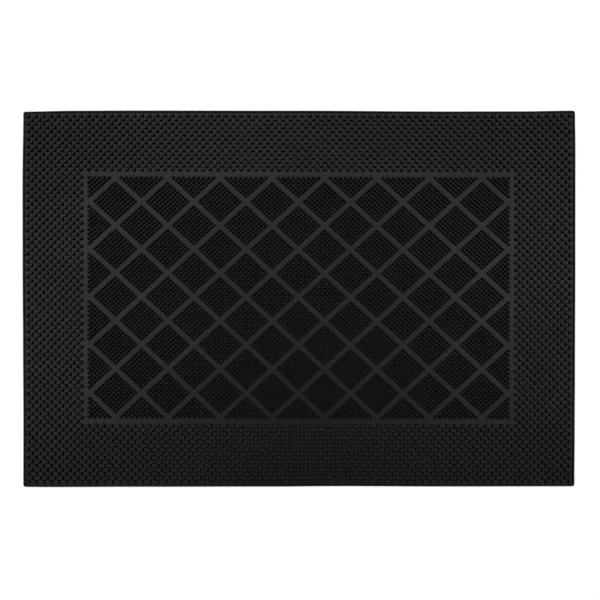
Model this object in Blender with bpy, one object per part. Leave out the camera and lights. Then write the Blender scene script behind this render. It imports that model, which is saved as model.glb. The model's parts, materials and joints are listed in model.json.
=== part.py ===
"""Rubber pin doormat, moulded in one piece and lying flat.

A thin sheet carries everything. A low rim runs round its edge, a border field stands inside the
rim as high as the border's nubs, and a panel of diamonds stands as high as the panel's pins. The
bands between the diamonds, and the frame band around the panel, are bare sheet.
The origin is under the middle of the mat, +X runs along its length and +Z points up.
"""

import math

import bmesh
import bpy

# Driving dimensions, in metres.
LENGTH = 0.595  # along X
WIDTH = 0.405  # along Y
SHEET = 0.0020  # the sheet, and so the height of every flat band
RIM_HEIGHT = 0.0040
RIM_WIDTH = 0.0018
EDGE_CHAMFER = 0.0005
CORNER_RADIUS = 0.0026
NUB_TOP = 0.0058  # height of the border field
PIN_TOP = 0.0062  # height of the diamonds

# The border's nubs stand on a staggered grid, and its half steps set the border's limits.
NUB_STEP_X = 0.00412
NUB_STEP_Y = 0.004202
NUB_FOOT_RADIUS = 0.0024
NUB_COLUMNS = 143  # half steps across the mat
NUB_ROWS = 95  # half steps from front to back
BORDER_DEPTH = 15  # half steps that the border is deep

# The panel's pins stand in diamonds that repeat along X and Y.
PIN_STEP_X = 0.00273
PIN_STEP_Y = 0.00251
PIN_FOOT_RADIUS = 0.0018
PINS_PER_SIDE = 9
DIAMOND_STEP_X = 0.05655
DIAMOND_STEP_Y = 0.0518
DIAMONDS_ALONG = 8
DIAMONDS_DEEP = 5

# The moulding isn't quite true. Inside the edges its rows lie this far towards the back edge, less so
# towards the right and towards the back, and its columns lie a little towards the left.
BOW = 0.0021
BOW_LESS_RIGHT = 0.0008
BOW_LESS_BACK = 0.0010
LEFTWARDS = 0.0008
# Each edge wanders in and out along its length: a share of the way along the edge, and how far
# the edge stands out there. The long edges run from left to right, the short ones front to back.
BACK_EDGE = (
    (0.0, -0.0010),
    (0.1, 0.0),
    (0.2, 0.0002),
    (0.5, 0.0),
    (0.76, -0.0008),
    (0.9, -0.0007),
    (1.0, 0.0001),
)
FRONT_EDGE = (
    (0.0, 0.0003),
    (0.04, 0.0005),
    (0.2, 0.0002),
    (0.45, 0.0),
    (0.58, -0.0005),
    (0.75, -0.0001),
    (1.0, -0.0003),
)
LEFT_EDGE = ((0.0, -0.0005), (0.16, -0.0006), (0.36, -0.0002), (0.58, 0.0003), (0.8, 0.0004), (1.0, -0.0005))
RIGHT_EDGE = ((0.0, -0.0010), (0.15, -0.0006), (0.3, -0.0003), (0.6, 0.0001), (0.9, 0.0002), (1.0, -0.0003))
WANDER_POWER = 8  # how fast the wandering dies away from an edge inwards

# Facets of the outlines.
LONG_STEPS = 14
SHORT_STEPS = 10
CORNER_STEPS = 3

RUBBER_COLOUR = (0.022, 0.022, 0.023, 1.0)
RUBBER_ROUGHNESS = 0.6


def eased(points, share):
    """The value at a share of the way along, eased between the points on either side."""
    for (start, low), (end, high) in zip(points, points[1:]):
        if share <= end:
            turn = max(0.0, share - start) / (end - start)
            return low + (high - low) * (1 - math.cos(math.pi * turn)) / 2
    return points[-1][1]


def laid(x, y):
    """Where a point of the true rectangle lies on the moulding."""
    across = 2 * x / LENGTH
    back = 2 * y / WIDTH
    along_x = (across + 1) / 2
    along_y = (back + 1) / 2
    side = eased(RIGHT_EDGE, along_y) if across > 0 else -eased(LEFT_EDGE, along_y)
    end = eased(BACK_EDGE, along_x) if back > 0 else -eased(FRONT_EDGE, along_x)
    bow = BOW - BOW_LESS_RIGHT * across - BOW_LESS_BACK * back
    return (
        x + side * abs(across) ** WANDER_POWER - LEFTWARDS * (1 - across * across),
        y + end * abs(back) ** WANDER_POWER + bow * (1 - back * back),
    )


def outline(half_length, half_width, radius):
    """A rectangle with round corners, anticlockwise from the front right, as it lies."""
    points = []
    flat_x = half_length - radius
    flat_y = half_width - radius
    # Each corner's centre and first angle, then the way along the side that starts there.
    corners = (
        (flat_x, -flat_y, -90, (0, 2 * flat_y), SHORT_STEPS),
        (flat_x, flat_y, 0, (-2 * flat_x, 0), LONG_STEPS),
        (-flat_x, flat_y, 90, (0, -2 * flat_y), SHORT_STEPS),
        (-flat_x, -flat_y, 180, (2 * flat_x, 0), LONG_STEPS),
    )
    for centre_x, centre_y, first, way, steps in corners:
        for step in range(CORNER_STEPS + 1):
            angle = math.radians(first + 90 * step / CORNER_STEPS)
            points.append((centre_x + radius * math.cos(angle), centre_y + radius * math.sin(angle)))
        start_x, start_y = points[-1]
        for step in range(1, steps):
            share = step / steps
            points.append((start_x + way[0] * share, start_y + way[1] * share))
    return [laid(x, y) for x, y in points]


def ring_of_vertices(bm, points, height):
    return [bm.verts.new((x, y, height)) for x, y in points]


def bridge(bm, lower, upper):
    """Quads between two rings with the same number of vertices."""
    count = len(lower)
    for i in range(count):
        j = (i + 1) % count
        bm.faces.new((lower[i], lower[j], upper[j], upper[i]))


def new_object(name, bm):
    bmesh.ops.recalc_face_normals(bm, faces=bm.faces)
    mesh = bpy.data.meshes.new(name)
    bm.to_mesh(mesh)
    bm.free()
    made = bpy.data.objects.new(name, mesh)
    bpy.context.collection.objects.link(made)
    return made


def sheet_with_rim():
    """The sheet and its rim, as rings from the underside out, up, over the rim and down inside."""
    bm = bmesh.new()
    section = (
        (EDGE_CHAMFER, 0.0),
        (0.0, EDGE_CHAMFER),
        (0.0, RIM_HEIGHT - EDGE_CHAMFER),
        (EDGE_CHAMFER, RIM_HEIGHT),
        (RIM_WIDTH - EDGE_CHAMFER, RIM_HEIGHT),
        (RIM_WIDTH, SHEET),
    )
    rings = []
    for inset, height in section:
        points = outline(LENGTH / 2 - inset, WIDTH / 2 - inset, CORNER_RADIUS - inset)
        rings.append(ring_of_vertices(bm, points, height))
    for lower, upper in zip(rings, rings[1:]):
        bridge(bm, lower, upper)
    bm.faces.new(reversed(rings[0]))
    bm.faces.new(rings[-1])
    return new_object("mat", bm)


def border_field(bm):
    """The ring that the border's nubs fill, from inside the sheet up to the nubs' tops."""
    first_x = (NUB_COLUMNS - 1) / 2
    first_y = (NUB_ROWS - 1) / 2
    outer_x = first_x * NUB_STEP_X + NUB_FOOT_RADIUS
    outer_y = first_y * NUB_STEP_Y + NUB_FOOT_RADIUS
    last = BORDER_DEPTH - 1
    inner_x = (first_x - last) * NUB_STEP_X - NUB_FOOT_RADIUS
    inner_y = (first_y - last) * NUB_STEP_Y - NUB_FOOT_RADIUS
    outer = outline(outer_x, outer_y, NUB_FOOT_RADIUS)
    inner = outline(inner_x, inner_y, NUB_FOOT_RADIUS)
    rings = []
    for points, height in ((outer, SHEET / 2), (outer, NUB_TOP), (inner, NUB_TOP), (inner, SHEET / 2)):
        rings.append(ring_of_vertices(bm, points, height))
    for lower, upper in zip(rings, rings[1:] + rings[:1]):
        bridge(bm, lower, upper)


def diamond_centres():
    """Centres of every diamond, those that the panel's edges cut through included."""
    centres = []
    for column in range(2 * DIAMONDS_ALONG + 1):
        for row in range(2 * DIAMONDS_DEEP + 1):
            if (column + row) % 2 == 0:
                x = (column - DIAMONDS_ALONG) * DIAMOND_STEP_X / 2
                y = (row - DIAMONDS_DEEP) * DIAMOND_STEP_Y / 2
                centres.append((x, y))
    return centres


def diamond_fields(bm):
    """The diamonds, cut off along the panel's edges, from inside the sheet up to the pins' tops."""
    reach = PINS_PER_SIDE - 1
    half_x = reach * PIN_STEP_X + PIN_FOOT_RADIUS * math.sqrt(2)
    half_y = reach * PIN_STEP_Y + PIN_FOOT_RADIUS * math.sqrt(2)
    flat = bmesh.new()
    for x, y in diamond_centres():
        corners = ((x + half_x, y), (x, y + half_y), (x - half_x, y), (x, y - half_y))
        flat.faces.new(ring_of_vertices(flat, corners, SHEET / 2))
    panel_x = DIAMONDS_ALONG * DIAMOND_STEP_X / 2 + PIN_FOOT_RADIUS
    panel_y = DIAMONDS_DEEP * DIAMOND_STEP_Y / 2 + PIN_FOOT_RADIUS
    for place, outwards in (
        ((panel_x, 0, 0), (1, 0, 0)),
        ((-panel_x, 0, 0), (-1, 0, 0)),
        ((0, panel_y, 0), (0, 1, 0)),
        ((0, -panel_y, 0), (0, -1, 0)),
    ):
        everything = flat.verts[:] + flat.edges[:] + flat.faces[:]
        bmesh.ops.bisect_plane(flat, geom=everything, plane_co=place, plane_no=outwards, clear_outer=True)
    for face in flat.faces:
        points = [laid(corner.co.x, corner.co.y) for corner in face.verts]
        floor = ring_of_vertices(bm, points, SHEET / 2)
        top = ring_of_vertices(bm, points, PIN_TOP)
        bridge(bm, floor, top)
        bm.faces.new(reversed(floor))
        bm.faces.new(top)
    flat.free()


def raised_fields():
    """The border field and the diamonds, as one guide that is joined to the sheet."""
    bm = bmesh.new()
    border_field(bm)
    diamond_fields(bm)
    guide = new_object("raised_fields", bm)
    guide.hide_render = True
    guide.display_type = "WIRE"
    return guide


def rubber():
    material = bpy.data.materials.new("black_rubber")
    material.use_nodes = True
    shader = material.node_tree.nodes["Principled BSDF"]
    shader.inputs["Base Color"].default_value = RUBBER_COLOUR
    shader.inputs["Roughness"].default_value = RUBBER_ROUGHNESS
    shader.inputs["Metallic"].default_value = 0.0
    return material


def main():
    for old in list(bpy.data.objects):
        bpy.data.objects.remove(old)
    mat = sheet_with_rim()
    mat.data.materials.append(rubber())
    join = mat.modifiers.new("raised_fields", "BOOLEAN")
    join.operation = "UNION"
    join.solver = "EXACT"
    join.object = raised_fields()


main()
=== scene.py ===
"""Moulded rubber pin doormat: the sheet with its rim, the border's nubs and the panel's pins.

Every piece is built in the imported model's frame, in metres: the origin is under the middle of the
mat, +X runs along its length and +Z points up.
"""

import json
import math
from typing import NamedTuple

import bmesh
import bpy
import numpy as np
from bpy.props import FloatProperty, FloatVectorProperty, IntProperty, PointerProperty
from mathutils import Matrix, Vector

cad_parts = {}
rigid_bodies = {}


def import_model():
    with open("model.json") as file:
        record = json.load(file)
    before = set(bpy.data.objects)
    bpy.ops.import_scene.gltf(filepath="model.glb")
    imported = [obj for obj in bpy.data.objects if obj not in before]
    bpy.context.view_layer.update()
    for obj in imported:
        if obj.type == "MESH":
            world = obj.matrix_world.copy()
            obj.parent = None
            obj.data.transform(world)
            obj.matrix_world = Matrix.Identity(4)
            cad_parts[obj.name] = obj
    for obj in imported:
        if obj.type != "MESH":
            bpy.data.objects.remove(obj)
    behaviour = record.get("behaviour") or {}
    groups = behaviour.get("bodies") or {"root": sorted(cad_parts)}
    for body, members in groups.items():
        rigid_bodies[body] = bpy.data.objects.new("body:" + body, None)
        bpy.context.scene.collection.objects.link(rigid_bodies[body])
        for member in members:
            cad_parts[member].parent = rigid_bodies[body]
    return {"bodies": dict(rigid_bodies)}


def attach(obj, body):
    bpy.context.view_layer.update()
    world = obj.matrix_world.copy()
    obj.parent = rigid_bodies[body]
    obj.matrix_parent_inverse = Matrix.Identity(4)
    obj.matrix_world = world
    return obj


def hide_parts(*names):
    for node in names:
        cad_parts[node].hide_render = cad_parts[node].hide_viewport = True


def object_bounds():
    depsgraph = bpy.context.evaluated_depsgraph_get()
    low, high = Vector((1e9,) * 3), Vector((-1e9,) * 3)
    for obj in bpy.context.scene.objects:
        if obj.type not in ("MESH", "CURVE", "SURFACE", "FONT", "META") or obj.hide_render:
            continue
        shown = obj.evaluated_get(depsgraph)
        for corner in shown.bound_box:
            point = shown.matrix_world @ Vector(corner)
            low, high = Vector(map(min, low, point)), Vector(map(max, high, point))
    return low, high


bl_info = {
    "name": "Rubber Pin Doormat",
    "version": (1, 0, 0),
    "blender": (4, 5, 0),
    "location": "View3D > Sidebar > Doormat",
    "description": "Adds a moulded rubber doormat with a nubbed border and a panel of pins",
    "category": "Add Mesh",
}

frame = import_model()
CAD_LOW, CAD_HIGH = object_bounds()
NODE = "mat"
BODY = list(frame["bodies"])[0]

# The moulding isn't quite true. Inside the edges its rows lie this far towards the back edge, less so
# towards the right and towards the back, and its columns lie a little towards the left.
BOW = 0.0021
BOW_LESS_RIGHT = 0.0008
BOW_LESS_BACK = 0.0010
LEFTWARDS = 0.0008
# Each edge wanders in and out along its length: a share of the way along the edge, and how far
# the edge stands out there. The long edges run from left to right, the short ones front to back.
BACK_EDGE = (
    (0.0, -0.0010),
    (0.1, 0.0),
    (0.2, 0.0002),
    (0.5, 0.0),
    (0.76, -0.0008),
    (0.9, -0.0007),
    (1.0, 0.0001),
)
FRONT_EDGE = (
    (0.0, 0.0003),
    (0.04, 0.0005),
    (0.2, 0.0002),
    (0.45, 0.0),
    (0.58, -0.0005),
    (0.75, -0.0001),
    (1.0, -0.0003),
)
LEFT_EDGE = (
    (0.0, -0.0005),
    (0.16, -0.0006),
    (0.36, -0.0002),
    (0.58, 0.0003),
    (0.8, 0.0004),
    (1.0, -0.0005),
)
RIGHT_EDGE = (
    (0.0, -0.0010),
    (0.15, -0.0006),
    (0.3, -0.0003),
    (0.6, 0.0001),
    (0.9, 0.0002),
    (1.0, -0.0003),
)
WANDER_POWER = 8  # how fast the wandering dies away from an edge inwards


def furthest(edge):
    """How far an edge stands out at most."""
    return max(out for _, out in edge)


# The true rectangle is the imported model's box, less what its edges stand out.
LENGTH = CAD_HIGH.x - CAD_LOW.x - furthest(LEFT_EDGE) - furthest(RIGHT_EDGE)
WIDTH = CAD_HIGH.y - CAD_LOW.y - furthest(BACK_EDGE) - furthest(FRONT_EDGE)
PIN_TOP = CAD_HIGH.z

# The layout of the moulding: how many nubs, pins and diamonds it has.
NUB_COLUMNS = 143  # half steps across the mat
NUB_ROWS = 95  # half steps from front to back
BORDER_DEPTH = 15  # half steps that the border is deep
PINS_PER_SIDE = 9
DIAMONDS_ALONG = 8
DIAMONDS_DEEP = 5

# The rim's rounding, and the facets of the sheet's outline.
RIM_EDGE = 0.0005  # radius of its outer edges
RIM_SHOULDER = 0.0006  # radius of its inner edge
RIM_DRAFT = 0.0001  # how much wider the rim is at its foot
RIM_ARC_STEPS = 4  # facets of each round
LEAST_CORNER_RADIUS = 0.0004  # keeps the corners open where the outline is drawn in
LONG_STEPS = 60
SHORT_STEPS = 44
CORNER_STEPS = 6
SHARP_BEND = math.radians(50)  # the sheet is shaded smooth across any edge that bends less than this


class StudShape(NamedTuple):
    """How a kind of stud is made."""

    profile: tuple  # from the foot up: shares of the foot's radius and of the stud's height
    segments: int  # facets around a stud
    lean: float  # slope that its axis may have, as a standard deviation
    grain_depth: float


NUB_SHAPE = StudShape(
    profile=((1.03, 0.0), (0.98, 0.06), (0.80, 0.80), (0.72, 0.95), (0.60, 0.995), (0.0, 1.0)),
    segments=12,
    lean=0.05,
    grain_depth=0.00006,
)
PIN_SHAPE = StudShape(
    profile=((1.02, 0.0), (0.97, 0.05), (0.80, 0.60), (0.64, 0.93), (0.52, 0.985), (0.0, 1.0)),
    segments=10,
    lean=0.03,
    grain_depth=0.00005,
)
SHEET_GRAIN_DEPTH = 0.00006
STUD_ROOT = 0.0001  # how far a stud's foot is sunk into the sheet

# How one stud differs from the next: standard deviations, as shares of its size, and limits.
WIDE_SPREAD = 0.02
WIDE_LIMITS = (0.95, 1.05)
TALL_SPREAD = 0.012
TALL_LIMITS = (0.97, 1.0)
LEAN_LIMIT = 2.5  # times the kind's lean

# Sizes of the marks on the rubber.
PATCH_SIZE = 0.09
SMEAR_SIZE = 0.011
SPECK_SIZE = 0.0016
# The grain lies on a broader swell.
SWELL_SIZE = 3.5  # times the grain's
SWELL_HEIGHT = 10.0  # times the grain's

BAKE_MAP = "OFBake"  # the name of the map to bake the rubber's finish through

# The stage.
FLOOR_SIZE = 24.0  # across the round floor
FLOOR_SEGMENTS = 96
FLOOR_MOTTLES = 3.0  # mottles to a metre
FLOOR_DARKEST = 0.98  # share of the floor's colour that a mottle keeps
# Each light's azimuth from +X towards +Y, its elevation, the setting that holds its power, and its
# share of that power.
LIGHTS = {
    "right_light": (0, 62, "right_power", 1.0),
    "back_right_light": (30, 62, "right_power", 0.9),
    "back_light": (90, 67, "back_power", 1.0),
    "back_left_light": (120, 62, "left_power", 0.62),
    "left_light": (180, 62, "left_power", 1.0),
}
LIGHT_REACH = 2.0  # how far the lights stand from the mat's middle
LIGHT_SIZE = 0.9  # across a light's disk
# The sky: the sine of the height above the horizon, and how light it is there.
SKY = ((0.1, 0.3), (0.4, 0.08), (0.7, 0.005))
# The camera stands in front of the mat's middle by a share of the width that it sees, and its shift
# brings the mat back to the middle of the frame. It stands a little further forwards and to the right.
LENS = 50.0  # in millimetres, like the sensor's width
SENSOR = 36.0
CAMERA_SHIFT = 0.1
CAMERA_RIGHTWARDS = 0.001
CAMERA_FORWARDS = 0.0012


def length_property(name, description, default):
    return FloatProperty(
        name=name,
        description=description,
        default=default,
        min=0.0,
        precision=5,
        subtype="DISTANCE",
        unit="LENGTH",
    )


def power_property(name, description, default):
    return FloatProperty(name=name, description=description, default=default, min=0.0, unit="POWER")


class DoormatSheetSettings(bpy.types.PropertyGroup):
    """Sizes of the sheet and its rim."""

    thickness: length_property("Thickness", "Height of the bare sheet", 0.0020)
    rim_height: length_property("Rim height", "Height of the rim above the floor", 0.0040)
    rim_width: length_property("Rim width", "Width of the rim", 0.0018)
    corner_radius: length_property("Corner radius", "Radius of the mat's corners", 0.0026)


class DoormatNubSettings(bpy.types.PropertyGroup):
    """Sizes of the border's nubs."""

    step_x: length_property("Half step along X", "Half the distance between nubs in a row", 0.00412)
    step_y: length_property("Half step along Y", "Distance between one row and the next", 0.004202)
    foot_radius: length_property("Foot radius", "Radius of a nub where it meets the sheet", 0.0024)
    top: length_property("Top", "Height of the nubs' tops above the floor", 0.0058)
    seed: IntProperty(name="Seed", description="Seed of the nubs' small differences", default=3)


class DoormatPinSettings(bpy.types.PropertyGroup):
    """Sizes of the panel's pins and of the diamonds that they fill."""

    step_x: length_property("Half step along X", "Half the distance between pins in a row", 0.00273)
    step_y: length_property("Half step along Y", "Distance between one row and the next", 0.00251)
    diamond_x: length_property("Diamond step along X", "Distance between diamonds in a row", 0.05655)
    diamond_y: length_property("Diamond step along Y", "Distance between rows of diamonds", 0.0518)
    foot_radius: length_property("Foot radius", "Radius of a pin where it meets the sheet", 0.0018)
    seed: IntProperty(name="Seed", description="Seed of the pins' small differences", default=8)


class DoormatRubberSettings(bpy.types.PropertyGroup):
    """The rubber's finish."""

    colour: FloatVectorProperty(
        name="Rubber",
        description="Colour of the clean rubber",
        default=(0.0015, 0.0015, 0.0016),
        min=0.0,
        max=1.0,
        subtype="COLOR",
    )
    # The lighter colour of what faces up: grey bloom and dust, and partly painted light on the tops.
    dust_and_lit_top_colour: FloatVectorProperty(
        name="Bloom",
        description="Colour of the grey bloom and dust that lie on the rubber",
        default=(0.007, 0.0068, 0.0066),
        min=0.0,
        max=1.0,
        subtype="COLOR",
    )
    roughness: FloatProperty(
        name="Roughness",
        description="Roughness of the moulded surface",
        default=0.4,
        min=0.0,
        max=1.0,
        subtype="FACTOR",
    )
    gloss: FloatProperty(
        name="Gloss",
        description="Specular level of the rubber",
        default=0.5,
        min=0.0,
        max=1.0,
        subtype="FACTOR",
    )
    grain: length_property("Grain", "Size of the moulded grain", 0.0006)


class DoormatStageSettings(bpy.types.PropertyGroup):
    """The floor, the lights and the camera."""

    floor_colour: FloatVectorProperty(
        name="Floor",
        description="Colour of the floor",
        default=(0.92, 0.92, 0.92),
        min=0.0,
        max=1.0,
        subtype="COLOR",
    )
    left_power: power_property("Left light", "Power of the light on the left", 4.6)
    right_power: power_property("Right light", "Power of the light on the right", 2.9)
    back_power: power_property("Back light", "Power of the light behind the mat", 1.6)
    glow: FloatProperty(
        name="Floor glow",
        description="How much light the floor gives off itself, as a light table does",
        default=0.82,
        min=0.0,
    )
    camera_height: length_property("Camera height", "Height of the camera above the floor", 0.9010)


class DoormatSettings(bpy.types.PropertyGroup):
    """Everything that a user may change."""

    sheet: PointerProperty(type=DoormatSheetSettings)
    nubs: PointerProperty(type=DoormatNubSettings)
    pins: PointerProperty(type=DoormatPinSettings)
    rubber: PointerProperty(type=DoormatRubberSettings)
    stage: PointerProperty(type=DoormatStageSettings)


# Where things lie.


def eased(points, share):
    """The values at shares of the way along, eased between the points on either side."""
    places = np.array([place for place, _ in points])
    values = np.array([value for _, value in points])
    after = np.clip(np.searchsorted(places, share), 1, len(places) - 1)
    turn = np.clip((share - places[after - 1]) / (places[after] - places[after - 1]), 0, 1)
    return values[after - 1] + (values[after] - values[after - 1]) * (1 - np.cos(math.pi * turn)) / 2


def laid(x, y):
    """Where points of the true rectangle lie on the moulding."""
    across = 2 * x / LENGTH
    back = 2 * y / WIDTH
    along_x = (across + 1) / 2
    along_y = (back + 1) / 2
    side = np.where(across > 0, eased(RIGHT_EDGE, along_y), -eased(LEFT_EDGE, along_y))
    end = np.where(back > 0, eased(BACK_EDGE, along_x), -eased(FRONT_EDGE, along_x))
    bow = BOW - BOW_LESS_RIGHT * across - BOW_LESS_BACK * back
    return (
        x + side * abs(across) ** WANDER_POWER - LEFTWARDS * (1 - across * across),
        y + end * abs(back) ** WANDER_POWER + bow * (1 - back * back),
    )


def outline(half_length, half_width, radius):
    """A rectangle with round corners, anticlockwise from the front right, as it lies."""
    points = []
    flat_x = half_length - radius
    flat_y = half_width - radius
    # Each corner's centre and first angle, then the way along the side that starts there.
    corners = (
        (flat_x, -flat_y, -90, (0, 2 * flat_y), SHORT_STEPS),
        (flat_x, flat_y, 0, (-2 * flat_x, 0), LONG_STEPS),
        (-flat_x, flat_y, 90, (0, -2 * flat_y), SHORT_STEPS),
        (-flat_x, -flat_y, 180, (2 * flat_x, 0), LONG_STEPS),
    )
    for centre_x, centre_y, first, way, steps in corners:
        for step in range(CORNER_STEPS + 1):
            angle = math.radians(first + 90 * step / CORNER_STEPS)
            points.append((centre_x + radius * math.cos(angle), centre_y + radius * math.sin(angle)))
        start_x, start_y = points[-1]
        for step in range(1, steps):
            share = step / steps
            points.append((start_x + way[0] * share, start_y + way[1] * share))
    x, y = np.array(points).T
    return np.stack(laid(x, y), axis=1)


# Materials.


class Value:
    """A node's output that arithmetic can be done with: each operation adds its Math node."""

    def __init__(self, graph, socket):
        self.graph = graph
        self.socket = socket

    def math(self, operation, *others):
        inputs = dict(enumerate(others))
        return self.graph.add("ShaderNodeMath", {"operation": operation}, inputs)

    def __add__(self, other):
        return self.math("ADD", self, other)

    def __radd__(self, other):
        return self.math("ADD", other, self)

    def __sub__(self, other):
        return self.math("SUBTRACT", self, other)

    def __rsub__(self, other):
        return self.math("SUBTRACT", other, self)

    def __mul__(self, other):
        return self.math("MULTIPLY", self, other)

    def __rmul__(self, other):
        return self.math("MULTIPLY", other, self)

    def clamped(self):
        return self.math("MINIMUM", self.math("MAXIMUM", self, 0.0), 1.0)


class Graph:
    """The nodes of a material or a world, and the shader that they feed."""

    def __init__(self, owner, shader="Principled BSDF"):
        owner.use_nodes = True
        self.owner = owner
        self.tree = owner.node_tree
        self.shader = self.tree.nodes[shader]

    def add(self, kind, settings=None, inputs=None, output=0):
        """Adds a node: its settings first, then its inputs. Returns one of its outputs."""
        node = self.tree.nodes.new(kind)
        for name, setting in (settings or {}).items():
            if name == "stops":
                self.set_stops(node.color_ramp, setting)
            else:
                setattr(node, name, setting)
        for name, value in (inputs or {}).items():
            self.feed(node.inputs[name], value)
        return Value(self, node.outputs[output])

    def set_stops(self, ramp, stops):
        for element, (place, level) in zip(ramp.elements, stops):
            element.position = place
            element.color = (level, level, level, 1.0)
        for place, level in stops[len(ramp.elements) :]:
            ramp.elements.new(place).color = (level, level, level, 1.0)

    def ramp(self, value, *stops):
        """A grey that follows a value through stops: pairs of the value and the grey's level."""
        return self.add("ShaderNodeValToRGB", {"stops": stops}, {"Fac": value}, "Color")

    def mix(self, factor, first, second):
        """A colour between two others."""
        inputs = {"Factor": factor, "A": (*first, 1.0), "B": (*second, 1.0)}
        return self.add("ShaderNodeMix", {"data_type": "RGBA"}, inputs, "Result")

    def feed(self, socket, value):
        if isinstance(value, Value):
            self.tree.links.new(value.socket, socket)
        else:
            socket.default_value = value

    def finish(self, **inputs):
        """Feeds the shader: names are its sockets', with _ for a space."""
        for name, value in inputs.items():
            self.feed(self.shader.inputs[name.replace("_", " ")], value)
        return self.owner


def rubber(name, settings, grain_depth):
    """Black moulded rubber: fine grain, grey bloom and dust, and painted light that makes what faces
    up lighter than the walls.
    """
    graph = Graph(bpy.data.materials.new(name))
    place = graph.add("ShaderNodeTexCoord", output="Object")
    facing = graph.add("ShaderNodeNewGeometry", output="Normal")
    up = graph.add("ShaderNodeSeparateXYZ", inputs={"Vector": facing}, output="Z")

    def noise(size, detail, roughness=0.5):
        inputs = {"Vector": place, "Scale": 1 / size, "Detail": detail, "Roughness": roughness}
        return graph.add("ShaderNodeTexNoise", inputs=inputs, output="Fac")

    patches = graph.ramp(noise(PATCH_SIZE, 3.0), (0.35, 0.0), (0.75, 1.0))
    smears = graph.ramp(noise(SMEAR_SIZE, 4.0, 0.6), (0.45, 0.0), (0.7, 1.0))
    specks = graph.ramp(noise(SPECK_SIZE, 2.0), (0.60, 0.0), (0.72, 1.0))
    grain = noise(settings.grain, 2.0)
    swell = noise(settings.grain * SWELL_SIZE, 1.0)
    # Painted light: the mask of what faces up, partly settled dust and partly light falling on the
    # tops, so the walls stay darker.
    dust_and_painted_light = graph.ramp(up, (0.5, 0.0), (0.95, 1.0))
    # What faces up is lighter everywhere, partly bloom and partly painted light from above that leaves
    # the steep walls in painted shade; the patches, smears and specks add more bloom.
    bloom_and_painted_light = dust_and_painted_light * (0.45 + 0.25 * patches + 0.2 * smears + 0.3 * specks)
    colour = graph.mix(bloom_and_painted_light.clamped(), settings.colour, settings.dust_and_lit_top_colour)
    roughness = settings.roughness + 0.05 * patches + 0.06 * (grain - 0.5)
    bump = graph.add(
        "ShaderNodeBump",
        inputs={"Strength": 0.5, "Distance": grain_depth, "Height": grain + SWELL_HEIGHT * swell},
    )
    return graph.finish(
        Base_Color=colour,
        Roughness=roughness.clamped(),
        Specular_IOR_Level=settings.gloss,
        Normal=bump,
    )


def floor_paint(colour, glow):
    """Smooth pale light table with a very faint mottling."""
    graph = Graph(bpy.data.materials.new("floor"))
    place = graph.add("ShaderNodeTexCoord", output="Object")
    inputs = {"Vector": place, "Scale": FLOOR_MOTTLES}
    mottle = graph.add("ShaderNodeTexNoise", inputs=inputs, output="Fac")
    shade = graph.mix(mottle, colour, [FLOOR_DARKEST * channel for channel in colour])
    return graph.finish(
        Base_Color=shade,
        Roughness=0.9,
        Emission_Color=shade,
        Emission_Strength=glow,
    )


def studio_world():
    """A studio that is pale along the horizon and dark overhead."""
    graph = Graph(bpy.data.worlds.new("studio"), "Background")
    place = graph.add("ShaderNodeTexCoord", output="Generated")
    height = graph.add("ShaderNodeSeparateXYZ", inputs={"Vector": place}, output="Z")
    return graph.finish(Color=graph.ramp(height, *SKY))


# Pieces.


def settings_of(context):
    return context.scene.doormat


def place_piece(context, name, mesh, material):
    """Links a new piece of the mat, which rides on the mat's body and stands for its solid."""
    piece = bpy.data.objects.new(name, mesh)
    context.collection.objects.link(piece)
    mesh.materials.append(material)
    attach(piece, BODY)
    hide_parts(NODE)
    return piece


def add_bake_map(mesh):
    """A map seen from straight above, with what faces down beside what faces up."""
    corners = np.empty(len(mesh.loops), np.int32)
    mesh.loops.foreach_get("vertex_index", corners)
    points = np.empty(len(mesh.vertices) * 3, np.float32)
    mesh.vertices.foreach_get("co", points)
    points = points.reshape(-1, 3)
    low = points.min(axis=0)
    size = max((points.max(axis=0) - low)[:2])
    spots = (points[corners, :2] - low[:2]) / size
    normals = np.empty(len(mesh.polygons) * 3, np.float32)
    mesh.polygons.foreach_get("normal", normals)
    counts = np.empty(len(mesh.polygons), np.int32)
    mesh.polygons.foreach_get("loop_total", counts)
    below = np.repeat(normals.reshape(-1, 3)[:, 2] < -0.5, counts)
    if below.any():
        spots *= 0.5
        spots[below, 0] += 0.5
    mesh.uv_layers.new(name=BAKE_MAP).data.foreach_set("uv", spots.ravel())


def sheet_mesh(settings):
    """The sheet: rings from the underside out, up, over the round rim and down to the bare sheet."""
    high = settings.rim_height
    wide = settings.rim_width
    bevel = RIM_EDGE * 0.3  # the middle of the lower edge's round
    section = [(RIM_EDGE, 0.0), (bevel, bevel), (0.0, RIM_EDGE), (0.0, high - RIM_EDGE)]
    turns = [math.radians(90 * step / RIM_ARC_STEPS) for step in range(RIM_ARC_STEPS + 1)]
    for turn in turns[1:]:
        section.append((RIM_EDGE * (1 - math.cos(turn)), high - RIM_EDGE * (1 - math.sin(turn))))
    for turn in turns:
        inset = wide - RIM_SHOULDER * (1 - math.sin(turn)) - RIM_DRAFT
        section.append((inset, high - RIM_SHOULDER * (1 - math.cos(turn))))
    section.append((wide, settings.thickness))
    bm = bmesh.new()
    rings = []
    for inset, height in section:
        radius = max(settings.corner_radius - inset, LEAST_CORNER_RADIUS)
        points = outline(LENGTH / 2 - inset, WIDTH / 2 - inset, radius)
        rings.append([bm.verts.new((x, y, height)) for x, y in points])
    for lower, upper in zip(rings, rings[1:]):
        for i, corner in enumerate(lower):
            j = (i + 1) % len(lower)
            bm.faces.new((corner, lower[j], upper[j], upper[i])).smooth = True
    bm.faces.new(reversed(rings[0]))
    bm.faces.new(rings[-1])
    bmesh.ops.recalc_face_normals(bm, faces=bm.faces)
    mesh = bpy.data.meshes.new("rubber_sheet")
    bm.to_mesh(mesh)
    bm.free()
    mesh.set_sharp_from_angle(angle=SHARP_BEND)
    add_bake_map(mesh)
    return mesh


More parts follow.
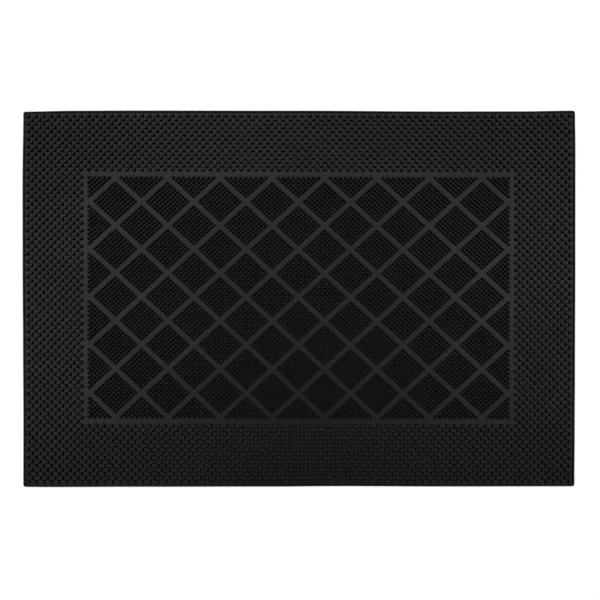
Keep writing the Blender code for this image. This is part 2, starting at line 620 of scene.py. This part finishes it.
def stud_points(centres, shape, foot, tall, floor, seed):
    """Corners of round studs, by stud and by corner: ring by ring from the foot up, then the tip."""
    rng = np.random.default_rng(seed)
    count = len(centres)
    radii, heights = np.array(shape.profile).T * np.array([[foot], [tall]])
    heights[0] = -STUD_ROOT
    radii = radii[None, :-1, None]
    x, y = laid(*np.array(centres).T)
    turned = rng.uniform(0, 2 * math.pi, count)
    wide = rng.normal(1.0, WIDE_SPREAD, count).clip(*WIDE_LIMITS)
    high = rng.normal(1.0, TALL_SPREAD, count).clip(*TALL_LIMITS)
    most = LEAN_LIMIT * shape.lean
    lean_x, lean_y = rng.normal(0.0, shape.lean, (2, count)).clip(-most, most)
    angles = 2 * math.pi * np.arange(shape.segments) / shape.segments
    around = turned[:, None, None] + angles[None, None, :]
    reach = wide[:, None, None] * radii
    level = (high[:, None] * heights[None, :-1])[:, :, None]
    rings = np.empty((count, len(heights) - 1, shape.segments, 3))
    rings[..., 0] = x[:, None, None] + reach * np.cos(around) + lean_x[:, None, None] * level
    rings[..., 1] = y[:, None, None] + reach * np.sin(around) + lean_y[:, None, None] * level
    rings[..., 2] = floor + level
    top = high * heights[-1]
    tips = np.stack((x + lean_x * top, y + lean_y * top, floor + top), axis=1)
    return np.concatenate((rings.reshape(count, -1, 3), tips[:, None, :]), axis=1)


def stud_faces(count, rings, segments):
    """Corners of the faces of round studs, and how many corners each face has."""
    here = np.arange(segments)
    after = (here + 1) % segments
    wall = np.stack((here, after, segments + after, segments + here), axis=1)
    walls = np.concatenate([wall + ring * segments for ring in range(rings - 1)])
    last = (rings - 1) * segments
    crown = np.stack((last + here, last + after, np.full(segments, rings * segments)), axis=1)
    one = np.concatenate((walls.ravel(), crown.ravel()))
    shift = np.arange(count) * (rings * segments + 1)
    corners = (one[None, :] + shift[:, None]).ravel()
    sides = np.tile(np.repeat((4, 3), (len(walls), len(crown))), count)
    return corners, sides


def studs_mesh(name, centres, shape, foot, tall, floor, seed):
    """One mesh of round studs standing on the sheet, each a little different from the next."""
    points = stud_points(centres, shape, foot, tall, floor, seed)
    corners, sides = stud_faces(len(centres), len(shape.profile) - 1, shape.segments)
    mesh = bpy.data.meshes.new(name)
    mesh.vertices.add(points.shape[0] * points.shape[1])
    mesh.vertices.foreach_set("co", points.astype(np.float32).ravel())
    mesh.loops.add(len(corners))
    mesh.loops.foreach_set("vertex_index", corners.astype(np.int32))
    mesh.polygons.add(len(sides))
    mesh.polygons.foreach_set("loop_start", (np.cumsum(sides) - sides).astype(np.int32))
    mesh.polygons.foreach_set("use_smooth", np.ones(len(sides), bool))
    mesh.update(calc_edges=True)
    mesh.validate()
    add_bake_map(mesh)
    return mesh


def place_studs(context, kind, shape, settings, fields, top):
    """Makes a piece of each field of studs, with small differences of its own."""
    floor = settings_of(context).sheet.thickness
    look = rubber(f"rubber_of_{kind}", settings_of(context).rubber, shape.grain_depth)
    for number, (field, centres) in enumerate(fields.items()):
        name = f"{kind}_{field}"
        seed = settings.seed + number
        mesh = studs_mesh(name, centres, shape, settings.foot_radius, top - floor, floor, seed)
        place_piece(context, name, mesh, look)


def nub_centres(settings):
    """Centres of the border's nubs by side of the mat: a staggered grid, bare over the panel."""
    fields = {"back": [], "front": [], "left": [], "right": []}
    for column in range(NUB_COLUMNS):
        for row in range(NUB_ROWS):
            across = min(column, NUB_COLUMNS - 1 - column)
            deep = min(row, NUB_ROWS - 1 - row)
            if (column + row) % 2 or (across >= BORDER_DEPTH and deep >= BORDER_DEPTH):
                continue
            x = (column - (NUB_COLUMNS - 1) / 2) * settings.step_x
            y = (row - (NUB_ROWS - 1) / 2) * settings.step_y
            if deep < BORDER_DEPTH:
                side = "front" if row < NUB_ROWS / 2 else "back"
            else:
                side = "left" if column < NUB_COLUMNS / 2 else "right"
            fields[side].append((x, y))
    return fields


def pin_centres(settings):
    """Centres of the panel's pins by quarter: square bunches set on their corners."""
    half = PINS_PER_SIDE // 2
    edge_x = DIAMONDS_ALONG * settings.diamond_x / 2
    edge_y = DIAMONDS_DEEP * settings.diamond_y / 2
    spare = settings.step_y / 2
    fields = {"back_left": [], "back_right": [], "front_left": [], "front_right": []}
    for column in range(2 * DIAMONDS_ALONG + 1):
        for row in range(2 * DIAMONDS_DEEP + 1):
            if (column + row) % 2:
                continue
            middle_x = (column - DIAMONDS_ALONG) * settings.diamond_x / 2
            middle_y = (row - DIAMONDS_DEEP) * settings.diamond_y / 2
            end = "front" if row < DIAMONDS_DEEP else "back"
            side = "left" if column < DIAMONDS_ALONG else "right"
            for first in range(-half, half + 1):
                for second in range(-half, half + 1):
                    x = middle_x + (first + second) * settings.step_x
                    y = middle_y + (first - second) * settings.step_y
                    if abs(x) < edge_x + spare and abs(y) < edge_y + spare:
                        fields[f"{end}_{side}"].append((x, y))
    return fields


class DOORMAT_OT_add_sheet(bpy.types.Operator):
    """Adds the sheet with its rim"""

    bl_idname = "doormat.add_sheet"
    bl_label = "Add sheet"

    def execute(self, context):
        settings = settings_of(context)
        look = rubber("rubber_of_sheet", settings.rubber, SHEET_GRAIN_DEPTH)
        piece = place_piece(context, "rubber_sheet", sheet_mesh(settings.sheet), look)
        return {"FINISHED"}


class DOORMAT_OT_add_nubs(bpy.types.Operator):
    """Adds the round nubs of the border"""

    bl_idname = "doormat.add_nubs"
    bl_label = "Add border nubs"

    def execute(self, context):
        nubs = settings_of(context).nubs
        place_studs(context, "nubs", NUB_SHAPE, nubs, nub_centres(nubs), nubs.top)
        return {"FINISHED"}


class DOORMAT_OT_add_pins(bpy.types.Operator):
    """Adds the thin pins that fill the panel's diamonds"""

    bl_idname = "doormat.add_pins"
    bl_label = "Add panel pins"

    def execute(self, context):
        pins = settings_of(context).pins
        place_studs(context, "pins", PIN_SHAPE, pins, pin_centres(pins), PIN_TOP)
        return {"FINISHED"}


def add_floor(context, stage):
    bm = bmesh.new()
    bmesh.ops.create_circle(bm, cap_ends=True, segments=FLOOR_SEGMENTS, radius=FLOOR_SIZE / 2)
    mesh = bpy.data.meshes.new("floor")
    bm.to_mesh(mesh)
    bm.free()
    mesh.materials.append(floor_paint(stage.floor_colour, stage.glow))
    floor = bpy.data.objects.new("floor", mesh)
    context.collection.objects.link(floor)


def add_light(context, name, azimuth, elevation, power):
    """A round soft light, turned to the mat's middle."""
    data = bpy.data.lights.new(name, "AREA")
    data.shape = "DISK"
    data.size = LIGHT_SIZE
    data.energy = power
    turn = math.radians(azimuth)
    rise = math.radians(elevation)
    way = Vector((math.cos(rise) * math.cos(turn), math.cos(rise) * math.sin(turn), math.sin(rise)))
    light = bpy.data.objects.new(name, data)
    light.location = way * LIGHT_REACH
    light.rotation_euler = (-way).to_track_quat("-Z", "Y").to_euler()
    context.collection.objects.link(light)


def add_camera(context, height):
    """The camera, which looks straight down."""
    data = bpy.data.cameras.new("camera")
    data.lens = LENS
    data.sensor_width = SENSOR
    data.shift_y = CAMERA_SHIFT
    data.dof.use_dof = False
    camera = bpy.data.objects.new("camera", data)
    seen = height * data.sensor_width / data.lens
    camera.location = (CAMERA_RIGHTWARDS, -CAMERA_SHIFT * seen - CAMERA_FORWARDS, height)
    camera.rotation_euler = (0.0, 0.0, 0.0)
    context.collection.objects.link(camera)
    context.scene.camera = camera


class DOORMAT_OT_add_stage(bpy.types.Operator):
    """Adds a pale floor, soft lights and a camera straight above the mat"""

    bl_idname = "doormat.add_stage"
    bl_label = "Add stage"

    def execute(self, context):
        stage = settings_of(context).stage
        add_floor(context, stage)
        for name, (azimuth, elevation, power, share) in LIGHTS.items():
            add_light(context, name, azimuth, elevation, getattr(stage, power) * share)
        context.scene.world = studio_world()
        context.scene.view_settings.view_transform = "Standard"
        add_camera(context, stage.camera_height)
        return {"FINISHED"}


class DOORMAT_PT_panel(bpy.types.Panel):
    """Lists what the add-on makes, with its sizes and colours"""

    bl_idname = "DOORMAT_PT_panel"
    bl_label = "Rubber Pin Doormat"
    bl_space_type = "VIEW_3D"
    bl_region_type = "UI"
    bl_category = "Doormat"

    def draw(self, context):
        settings = settings_of(context)
        for operator, group in (
            (DOORMAT_OT_add_nubs, settings.nubs),
            (DOORMAT_OT_add_pins, settings.pins),
            (DOORMAT_OT_add_sheet, settings.sheet),
            (DOORMAT_OT_add_stage, settings.stage),
            (None, settings.rubber),
        ):
            box = self.layout.box()
            if operator:
                box.operator(operator.bl_idname)
            for name in group.__annotations__:
                box.prop(group, name)


CLASSES = (
    DoormatSheetSettings,
    DoormatNubSettings,
    DoormatPinSettings,
    DoormatRubberSettings,
    DoormatStageSettings,
    DoormatSettings,
    DOORMAT_OT_add_sheet,
    DOORMAT_OT_add_nubs,
    DOORMAT_OT_add_pins,
    DOORMAT_OT_add_stage,
    DOORMAT_PT_panel,
)


def register():
    for made in CLASSES:
        bpy.utils.register_class(made)
    bpy.types.Scene.doormat = PointerProperty(type=DoormatSettings)


def unregister():
    del bpy.types.Scene.doormat
    for made in reversed(CLASSES):
        bpy.utils.unregister_class(made)


def main():
    register()
    bpy.ops.doormat.add_nubs()
    bpy.ops.doormat.add_pins()
    bpy.ops.doormat.add_sheet()
    bpy.ops.doormat.add_stage()


if __name__ == "__main__":
    main()
